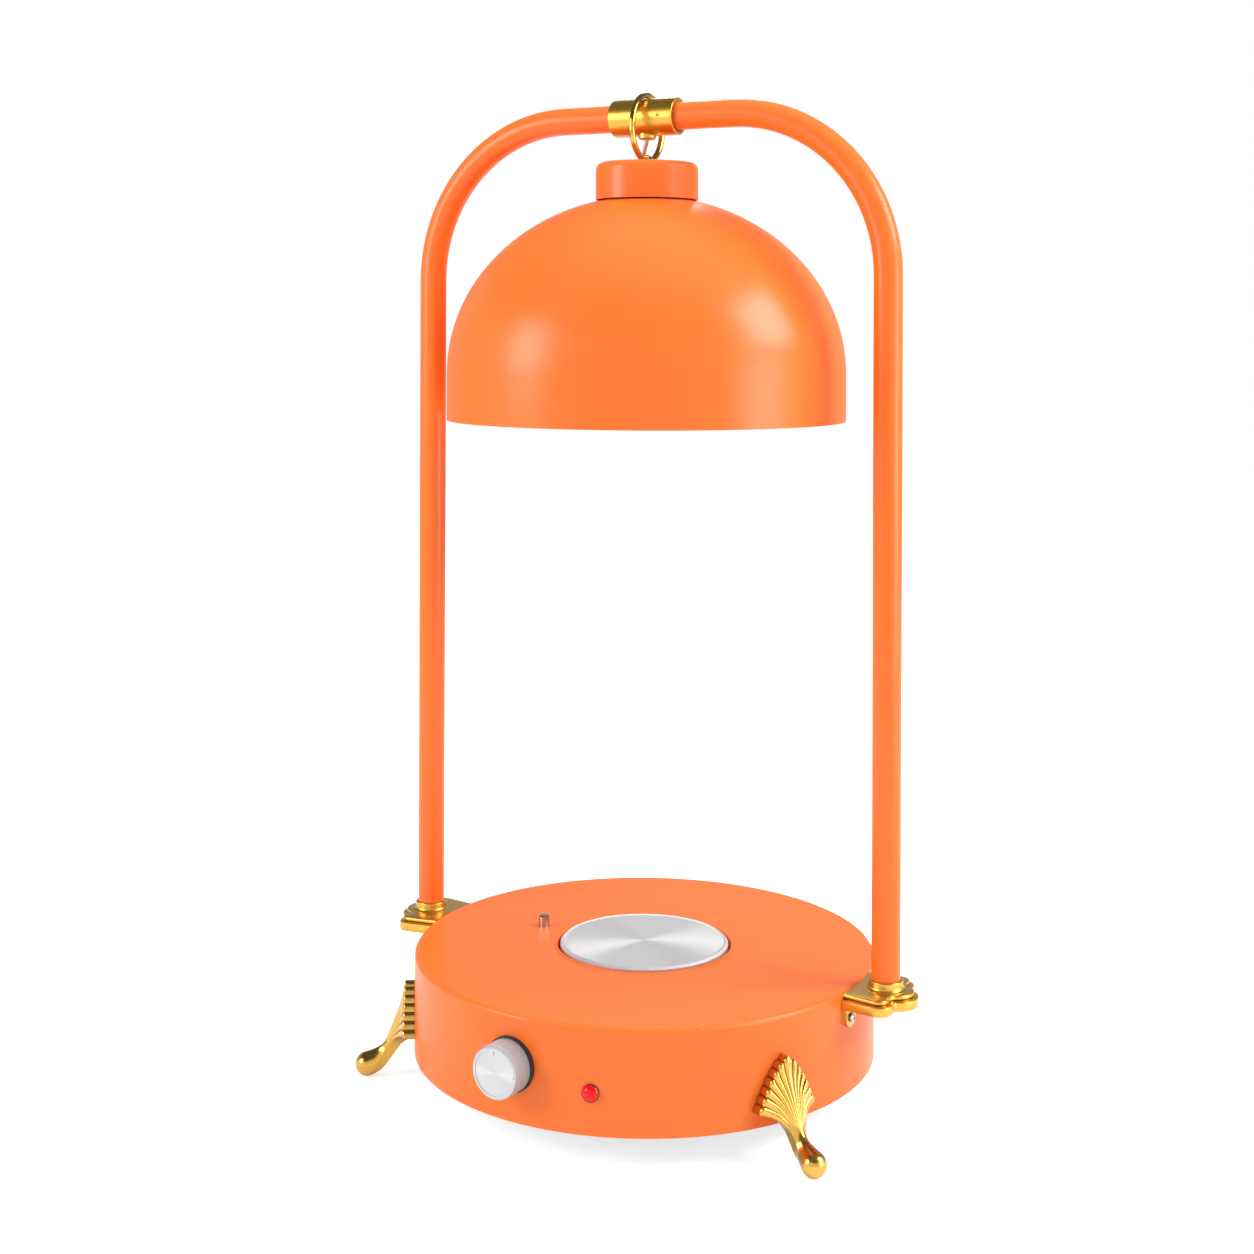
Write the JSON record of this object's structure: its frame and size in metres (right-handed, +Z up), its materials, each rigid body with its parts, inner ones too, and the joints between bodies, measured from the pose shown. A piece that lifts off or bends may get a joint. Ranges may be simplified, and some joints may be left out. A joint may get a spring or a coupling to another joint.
{
  "type": "food heat lamp",
  "caption": "Countertop food warmer: round heated base on shell feet, tubular arch and a domed heat-bulb shade hung from a ring.",
  "frame": {"origin": "on the drum's axis at table level", "axes": "+X towards the right post, -Y towards the front with the knob, +Z up"},
  "size_m": [0.4196, 0.3985, 0.7191],
  "materials": {
    "orange_paint": "satin powder paint over sheet steel and tube",
    "polished_brass": "polished brass",
    "spun_aluminium": "spun, with fine turning marks",
    "bright_chrome": "bright",
    "zinc_steel": "plain zinc plate",
    "black_plastic": "moulded",
    "black_rubber": "moulded",
    "red_lens": "clear red, glossy",
    "white_ceramic": "unglazed white",
    "bulb_glass": "frosted inside",
    "filament_metal": "drawn wire",
    "cable_sheath": "soft, slightly clear"
  },
  "bodies": {
    "base": {"base_drum": "orange_paint", "base_cover": "zinc_steel", "cover_screws": "zinc_steel", "warming_plate": "spun_aluminium", "plate_clip": "bright_chrome", "plate_seal": "black_rubber", "heater_disc": "zinc_steel", "insulation_disc": "white_ceramic", "heater_clamp_plate": "zinc_steel", "heater_clamp_nut": "zinc_steel", "control_body": "black_plastic", "control_nut": "zinc_steel", "knob_ring": "black_plastic", "indicator_lens": "red_lens", "indicator_body": "black_plastic", "indicator_nut": "zinc_steel", "button_housing": "zinc_steel", "button_spring": "zinc_steel", "button_switch": "black_plastic", "terminal_block": "white_ceramic", "base_wiring": "cable_sheath", "cord_gland_body": "black_plastic", "cord_gland_nut": "black_plastic", "cord_gland_locknut": "black_plastic", "arch_tube": "orange_paint", "riser_cable": "cable_sheath", "bracket_left": "polished_brass", "bracket_right": "polished_brass", "bracket_screws": "zinc_steel", "bracket_nuts": "zinc_steel", "post_grub_screws": "zinc_steel", "wire_grommets": "black_rubber", "foot_front_left": "polished_brass", "foot_front_right": "polished_brass", "foot_rear": "polished_brass", "foot_screws": "zinc_steel", "hanger_sleeve": "polished_brass", "sleeve_set_screw": "polished_brass", "lead_outlet": "polished_brass", "lead": "cable_sheath"},
    "knob": {"control_knob": "spun_aluminium", "knob_grub_screw": "zinc_steel", "control_shaft": "zinc_steel"},
    "button": {"button_plunger": "bright_chrome"},
    "ring": {"hanger_ring": "polished_brass"},
    "shade": {"cap_eye": "polished_brass", "eye_nuts": "zinc_steel", "shade_cap": "orange_paint", "lead_grommet": "black_rubber", "shade_dome": "orange_paint", "gallery_rings": "zinc_steel", "holder_strap": "zinc_steel", "strap_screws": "zinc_steel", "lampholder_body": "white_ceramic", "lampholder_sleeve": "zinc_steel", "lampholder_shell": "polished_brass", "lampholder_contact": "polished_brass", "bulb_envelope": "bulb_glass", "bulb_cap": "spun_aluminium", "bulb_filament": "filament_metal"}
  },
  "joints": [
    {"name": "knob_turn", "type": "hinge", "parent": "base", "child": "knob", "pos_m": [-0.01334, -0.16948, 0.061], "axis": [0.0785, 0.9969, 0], "range_deg": [0, 300]},
    {"name": "button_press", "type": "slide", "parent": "base", "child": "button", "axis": [0, 0, -1], "range_m": [0, 0.004], "stiffness_N_per_m": 600, "springref_m": -0.002, "deforming": ["button_spring"]},
    {"name": "ring_swing", "type": "hinge", "parent": "base", "child": "ring", "pos_m": [0, 0, 0.70071], "axis": [1, 0, 0], "range_deg": [-20, 20], "deforming": ["lead"]},
    {"name": "shade_swing", "type": "hinge", "parent": "ring", "child": "shade", "pos_m": [0, 0, 0.66831], "axis": [0, 1, 0], "range_deg": [-7, 7], "deforming": ["lead"]}
  ]
}
